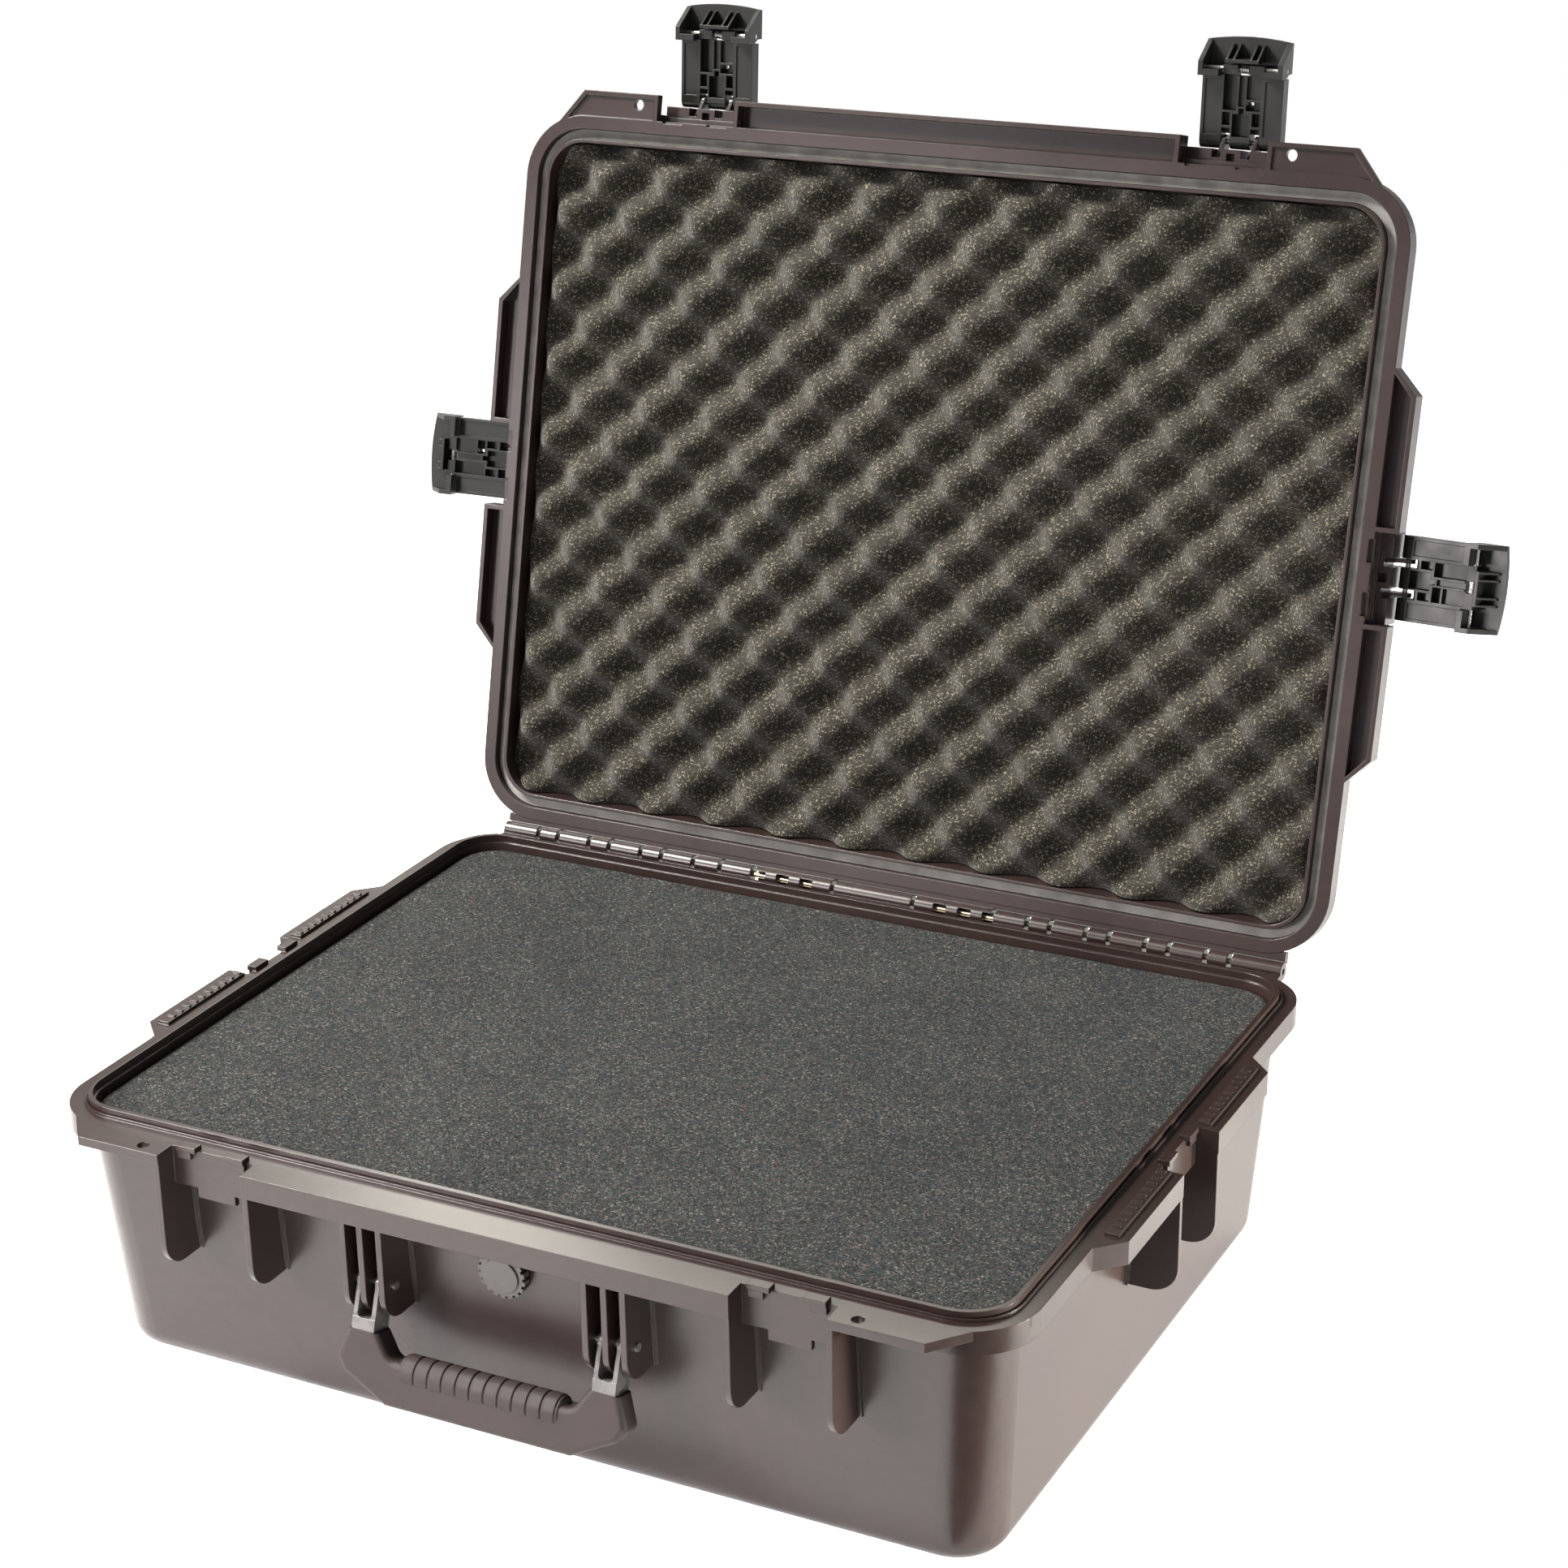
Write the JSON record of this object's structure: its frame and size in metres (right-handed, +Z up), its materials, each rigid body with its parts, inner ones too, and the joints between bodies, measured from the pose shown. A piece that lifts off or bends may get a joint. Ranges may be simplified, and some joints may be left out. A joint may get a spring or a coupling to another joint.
{
  "type": "hard equipment case",
  "caption": "Hard plastic equipment case with a hinged lid, latches on the front and sides, padlock holes, a folding handle, a vent valve and foam in base and lid.",
  "frame": {"origin": "middle of the base's flat underside", "axes": "+Z up, -Y towards the front with the handle, +X to the right seen from the front; the lid is stored open"},
  "size_m": [0.747, 0.6682, 0.6853],
  "materials": {
    "shell_plastic": "satin, fine moulded texture",
    "latch_plastic": "satin black",
    "valve_plastic": "satin",
    "soft_grip": "matt, soft",
    "fork_plastic": "smooth, a little glossy",
    "gasket": "matt",
    "base_foam": "open-cell foam",
    "lid_foam": "convoluted open-cell foam",
    "brass_pin": "plain",
    "steel": "plain"
  },
  "bodies": {
    "base": {"base_shell": "shell_plastic", "foam_bottom_pad": "base_foam", "foam_lower_layer": "base_foam", "foam_upper_layer": "base_foam", "valve_body": "valve_plastic", "valve_seal": "gasket", "valve_nut": "valve_plastic", "hinge_pin_left": "brass_pin", "hinge_pin_right": "brass_pin", "handle_pin_left": "steel", "handle_pin_right": "steel"},
    "lid": {"lid_shell": "shell_plastic", "lid_gasket": "gasket", "lid_foam": "lid_foam", "front_left_latch_hinge_pin": "steel", "front_right_latch_hinge_pin": "steel", "side_left_latch_hinge_pin": "steel", "side_right_latch_hinge_pin": "steel"},
    "handle": {"handle_core": "fork_plastic", "handle_grip": "soft_grip"},
    "front_left_latch": {"front_left_latch_plate": "latch_plastic", "front_left_latch_trigger_pin": "steel", "front_left_latch_trigger_spring": "steel"},
    "front_left_trigger": {"front_left_latch_trigger": "latch_plastic"},
    "front_right_latch": {"front_right_latch_plate": "latch_plastic", "front_right_latch_trigger_pin": "steel", "front_right_latch_trigger_spring": "steel"},
    "front_right_trigger": {"front_right_latch_trigger": "latch_plastic"},
    "side_left_latch": {"side_left_latch_plate": "latch_plastic", "side_left_latch_trigger_pin": "steel", "side_left_latch_trigger_spring": "steel"},
    "side_left_trigger": {"side_left_latch_trigger": "latch_plastic"},
    "side_right_latch": {"side_right_latch_plate": "latch_plastic", "side_right_latch_trigger_pin": "steel", "side_right_latch_trigger_spring": "steel"},
    "side_right_trigger": {"side_right_latch_trigger": "latch_plastic"}
  },
  "joints": [
    {"name": "lid_hinge", "type": "hinge", "parent": "base", "child": "lid", "pos_m": [0, 0.242, 0.1545], "axis": [1, 0, 0], "range_deg": [0, 103.3]},
    {"name": "handle_hinge", "type": "hinge", "parent": "base", "child": "handle", "pos_m": [0, -0.2365, 0.102], "axis": [-1, 0, 0], "range_deg": [0, 95]},
    {"name": "front_left_latch_hinge", "type": "hinge", "parent": "lid", "child": "front_left_latch", "pos_m": [-0.1775, 0.38681, 0.62408], "axis": [1, 0, 0], "range_deg": [-20, 81]},
    {"name": "front_left_trigger_hinge", "type": "hinge", "parent": "front_left_latch", "child": "front_left_trigger", "pos_m": [-0.1775, 0.38955, 0.6672], "axis": [-1, 0, 0], "range_deg": [0, 25], "stiffness_Nm_per_rad": 0.5, "springref_deg": -5.73},
    {"name": "front_right_latch_hinge", "type": "hinge", "parent": "lid", "child": "front_right_latch", "pos_m": [0.1775, 0.38681, 0.62408], "axis": [1, 0, 0], "range_deg": [-20, 81]},
    {"name": "front_right_trigger_hinge", "type": "hinge", "parent": "front_right_latch", "child": "front_right_trigger", "pos_m": [0.1775, 0.38955, 0.6672], "axis": [-1, 0, 0], "range_deg": [0, 25], "stiffness_Nm_per_rad": 0.5, "springref_deg": -5.73},
    {"name": "side_left_latch_hinge", "type": "hinge", "parent": "lid", "child": "side_left_latch", "pos_m": [-0.3115, 0.33015, 0.38439], "axis": [0, 0.23, 0.9732], "range_deg": [-20, 81]},
    {"name": "side_left_trigger_hinge", "type": "hinge", "parent": "side_left_latch", "child": "side_left_trigger", "pos_m": [-0.35409, 0.32309, 0.38605], "axis": [0, -0.23, -0.9732], "range_deg": [0, 25], "stiffness_Nm_per_rad": 0.5, "springref_deg": -5.73},
    {"name": "side_right_latch_hinge", "type": "hinge", "parent": "lid", "child": "side_right_latch", "pos_m": [0.3115, 0.33015, 0.38439], "axis": [0, -0.23, -0.9732], "range_deg": [-20, 81]},
    {"name": "side_right_trigger_hinge", "type": "hinge", "parent": "side_right_latch", "child": "side_right_trigger", "pos_m": [0.35409, 0.32309, 0.38605], "axis": [0, 0.23, 0.9732], "range_deg": [0, 25], "stiffness_Nm_per_rad": 0.5, "springref_deg": -5.73}
  ]
}
